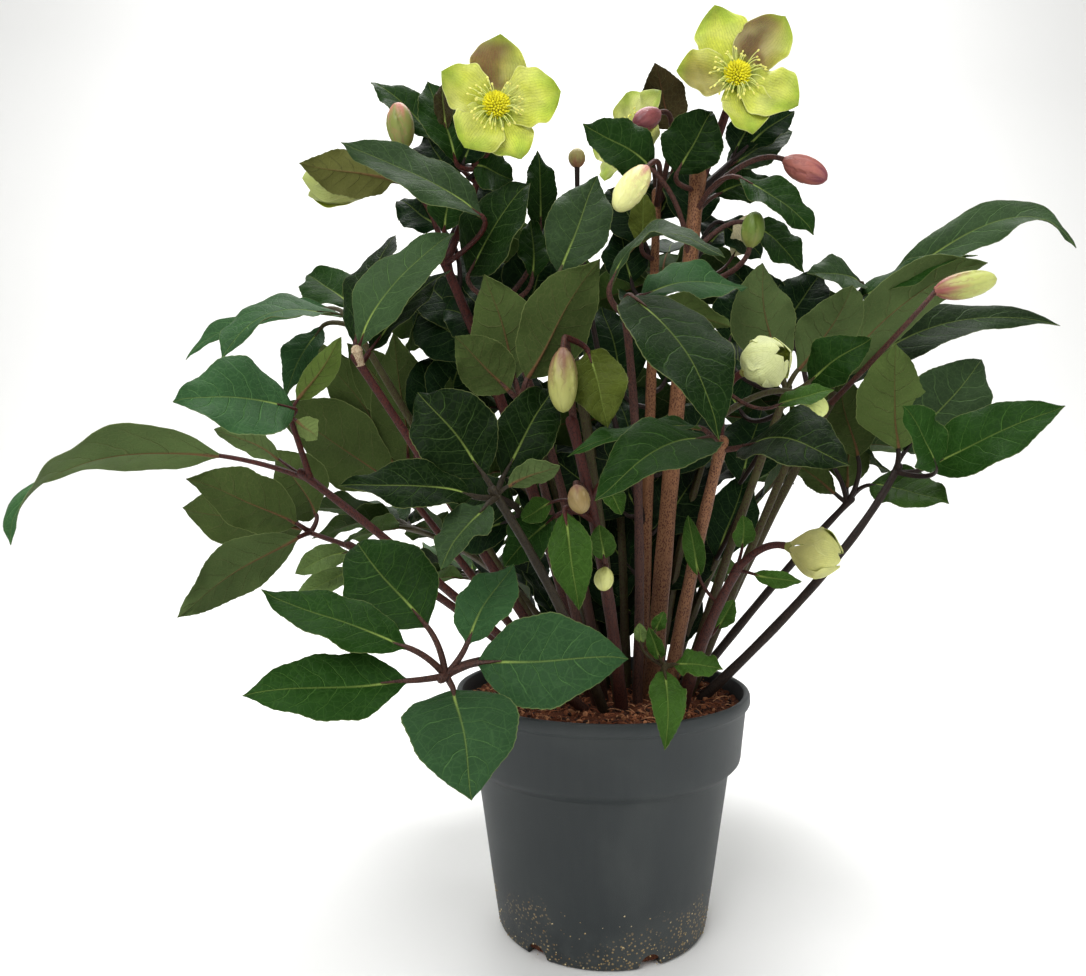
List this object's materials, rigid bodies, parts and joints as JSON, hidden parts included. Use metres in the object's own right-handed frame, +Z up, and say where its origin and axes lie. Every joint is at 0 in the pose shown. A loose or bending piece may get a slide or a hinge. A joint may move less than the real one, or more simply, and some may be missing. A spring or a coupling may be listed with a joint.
{
  "type": "hellebore plant",
  "caption": "Potted hellebore with leathery fingered leaves, thick flowering stems, yellow-green cup flowers and buds, standing in a tapered round nursery pot.",
  "frame": {"origin": "middle of the pot's flat base, on the surface that it stands on", "axes": "+Z up, -Y towards the front, +X to the right of the front view"},
  "size_m": [0.6407, 0.4843, 0.5667],
  "materials": {
    "leaf": "leathery dark green with a pale vein net, lighter olive underside",
    "sepal": "soft matte yellow-green flushed with olive brown",
    "stamen": "bright matte yellow",
    "bud": "soft matte cream to mauve pink",
    "pot": "matte dark grey moulded plastic",
    "soil": "rough reddish brown peat and coir"
  },
  "bodies": {
    "root": {"bud_back": "bud", "bud_cream": "bud", "bud_far_right": "bud", "bud_green": "bud", "bud_hanging": "bud", "bud_left": "bud", "bud_low": "bud", "bud_pink": "bud", "bud_right": "bud", "bud_small": "bud", "bud_tan": "bud", "flower_behind_sepals": "sepal", "flower_behind_stamens": "stamen", "flower_left_sepals": "sepal", "flower_left_stamens": "stamen", "flower_opening_low_sepals": "sepal", "flower_opening_upper_sepals": "sepal", "flower_right_sepals": "sepal", "flower_right_stamens": "stamen", "flower_side_sepals": "sepal", "leaf_back_01": "leaf", "leaf_back_02": "leaf", "leaf_back_03": "leaf", "leaf_back_04": "leaf", "leaf_back_05": "leaf", "leaf_back_06": "leaf", "leaf_back_07": "leaf", "leaf_back_08": "leaf", "leaf_back_09": "leaf", "leaf_back_10": "leaf", "leaf_back_11": "leaf", "leaf_back_12": "leaf", "leaf_back_13": "leaf", "leaf_back_14": "leaf", "leaf_back_15": "leaf", "leaf_blue_left": "leaf", "leaf_blue_upper": "leaf", "leaf_centre_left": "leaf", "leaf_centre_top": "leaf", "leaf_far_left": "leaf", "leaf_front_low": "leaf", "leaf_left_back": "leaf", "leaf_left_under": "leaf", "leaf_left_upper": "leaf", "leaf_right_low": "leaf", "leaf_right_round": "leaf", "leaf_right_tall": "leaf", "leaf_right_upper": "leaf", "leaf_soil_front": "leaf", "leaf_upper_mid": "leaf", "leaf_upright_mid": "leaf", "pot": "pot", "shoot_centre": "leaf", "shoot_far_right": "leaf", "shoot_front_right": "leaf", "shoot_left": "leaf", "shoot_low_right": "leaf", "shoot_middle": "leaf", "shoot_right": "leaf", "soil": "soil"}
  },
  "joints": []
}
